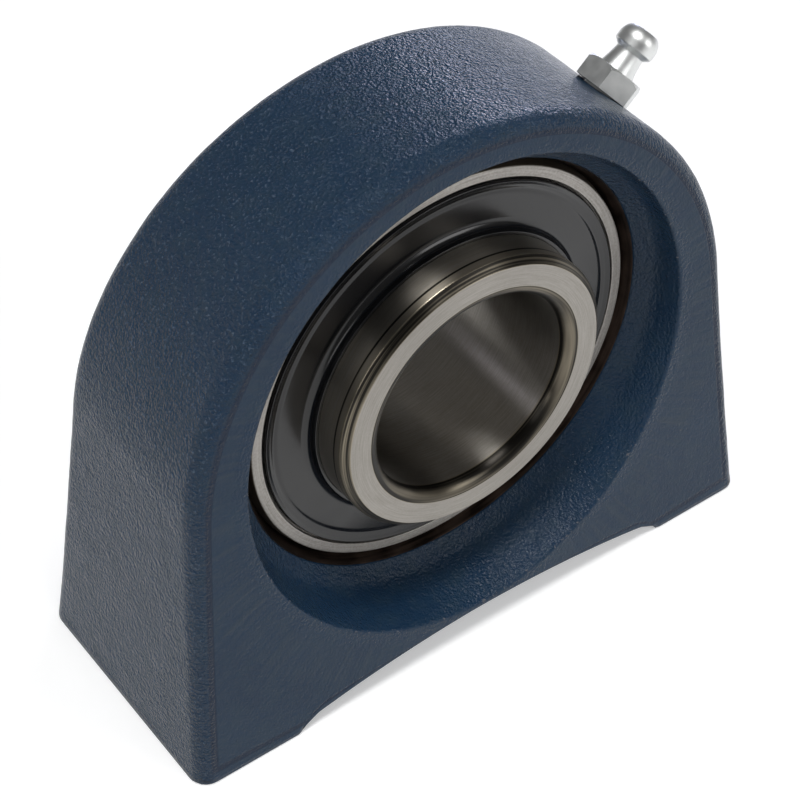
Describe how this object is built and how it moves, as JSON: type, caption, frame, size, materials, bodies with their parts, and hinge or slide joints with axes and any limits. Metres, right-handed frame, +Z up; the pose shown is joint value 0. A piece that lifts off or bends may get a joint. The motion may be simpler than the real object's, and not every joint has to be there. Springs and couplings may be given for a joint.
{
  "type": "pillow block bearing",
  "caption": "Short-base cast housing with a domed top and tapped feet, holding a self-aligning sealed insert bearing with a set-screw inner ring and a grease nipple.",
  "frame": {"origin": "on the floor under the insert's centre, midway between the two tapped holes in the feet", "axes": "+X along the base, towards the grease nipple; +Y along the shaft, from the flush front face to the end with the grub screws; +Z up"},
  "size_m": [0.11, 0.0479, 0.093],
  "materials": {
    "blue_paint": "slate-blue paint on rough cast iron",
    "bearing_steel": "ground bearing steel",
    "zinc": "bright zinc plate",
    "spring_steel": "drawn wire",
    "sheet_steel": "cold rolled",
    "black_sheet": "gloss black coated sheet steel",
    "black_screw": "black oxide",
    "nylon": "moulded, natural",
    "rubber": "moulded nitrile rubber"
  },
  "bodies": {
    "housing": {"housing": "blue_paint", "nipple_body": "zinc", "nipple_spring": "spring_steel"},
    "insert_outer": {"outer_ring": "bearing_steel", "front_seal_washer": "sheet_steel", "front_seal_lip": "rubber", "rear_seal_washer": "sheet_steel", "rear_seal_lip": "rubber"},
    "insert_inner": {"inner_ring": "bearing_steel", "front_flinger": "black_sheet", "rear_flinger": "black_sheet"},
    "cage": {"cage": "nylon"},
    "ball_1": {"ball_1": "bearing_steel"},
    "ball_2": {"ball_2": "bearing_steel"},
    "ball_3": {"ball_3": "bearing_steel"},
    "ball_4": {"ball_4": "bearing_steel"},
    "ball_5": {"ball_5": "bearing_steel"},
    "ball_6": {"ball_6": "bearing_steel"},
    "ball_7": {"ball_7": "bearing_steel"},
    "ball_8": {"ball_8": "bearing_steel"},
    "ball_9": {"ball_9": "bearing_steel"},
    "grub_screw_1": {"grub_screw_1": "black_screw"},
    "grub_screw_2": {"grub_screw_2": "black_screw"},
    "nipple_ball": {"nipple_ball": "bearing_steel"}
  },
  "joints": [
    {"name": "insert_swivel", "type": "hinge", "parent": "housing", "child": "insert_outer", "pos_m": [0, 0, 0.0476], "axis": [1, 0, 0], "range_deg": [-5, 5]},
    {"name": "inner_spin", "type": "hinge", "parent": "insert_outer", "child": "insert_inner", "pos_m": [0, 0, 0.0476], "axis": [0, 1, 0], "continuous": true},
    {"name": "cage_spin", "type": "hinge", "parent": "insert_outer", "child": "cage", "pos_m": [0, 0, 0.0476], "axis": [0, 1, 0], "continuous": true},
    {"name": "ball_1_spin", "type": "hinge", "parent": "cage", "child": "ball_1", "pos_m": [0, 0, 0.07435], "axis": [0, 1, 0], "continuous": true},
    {"name": "ball_2_spin", "type": "hinge", "parent": "cage", "child": "ball_2", "pos_m": [-0.01719, 0, 0.06809], "axis": [0, 1, 0], "continuous": true},
    {"name": "ball_3_spin", "type": "hinge", "parent": "cage", "child": "ball_3", "pos_m": [-0.02634, 0, 0.05225], "axis": [0, 1, 0], "continuous": true},
    {"name": "ball_4_spin", "type": "hinge", "parent": "cage", "child": "ball_4", "pos_m": [-0.02317, 0, 0.03422], "axis": [0, 1, 0], "continuous": true},
    {"name": "ball_5_spin", "type": "hinge", "parent": "cage", "child": "ball_5", "pos_m": [-0.00915, 0, 0.02246], "axis": [0, 1, 0], "continuous": true},
    {"name": "ball_6_spin", "type": "hinge", "parent": "cage", "child": "ball_6", "pos_m": [0.00915, 0, 0.02246], "axis": [0, 1, 0], "continuous": true},
    {"name": "ball_7_spin", "type": "hinge", "parent": "cage", "child": "ball_7", "pos_m": [0.02317, 0, 0.03422], "axis": [0, 1, 0], "continuous": true},
    {"name": "ball_8_spin", "type": "hinge", "parent": "cage", "child": "ball_8", "pos_m": [0.02634, 0, 0.05225], "axis": [0, 1, 0], "continuous": true},
    {"name": "ball_9_spin", "type": "hinge", "parent": "cage", "child": "ball_9", "pos_m": [0.01719, 0, 0.06809], "axis": [0, 1, 0], "continuous": true},
    {"name": "grub_screw_1_travel", "type": "slide", "parent": "insert_inner", "child": "grub_screw_1", "axis": [0.866, 0, 0.5], "range_m": [-0.00035, 0.0025]},
    {"name": "grub_screw_2_travel", "type": "slide", "parent": "insert_inner", "child": "grub_screw_2", "axis": [-0.866, 0, 0.5], "range_m": [-0.00035, 0.0025]},
    {"name": "check_ball_travel", "type": "slide", "parent": "housing", "child": "nipple_ball", "axis": [0.7431, 0, 0.6691], "range_m": [-0.0008, 0], "stiffness_N_per_m": 150, "springref_m": 0.0005, "deforming": ["nipple_spring"]}
  ],
  "couplings": [
    {"joint": "cage_spin", "follows": "inner_spin", "ratio": 0.39615},
    {"joint": "ball_1_spin", "follows": "inner_spin", "ratio": -2.3035},
    {"joint": "ball_2_spin", "follows": "inner_spin", "ratio": -2.3035},
    {"joint": "ball_3_spin", "follows": "inner_spin", "ratio": -2.3035},
    {"joint": "ball_4_spin", "follows": "inner_spin", "ratio": -2.3035},
    {"joint": "ball_5_spin", "follows": "inner_spin", "ratio": -2.3035},
    {"joint": "ball_6_spin", "follows": "inner_spin", "ratio": -2.3035},
    {"joint": "ball_7_spin", "follows": "inner_spin", "ratio": -2.3035},
    {"joint": "ball_8_spin", "follows": "inner_spin", "ratio": -2.3035},
    {"joint": "ball_9_spin", "follows": "inner_spin", "ratio": -2.3035}
  ]
}
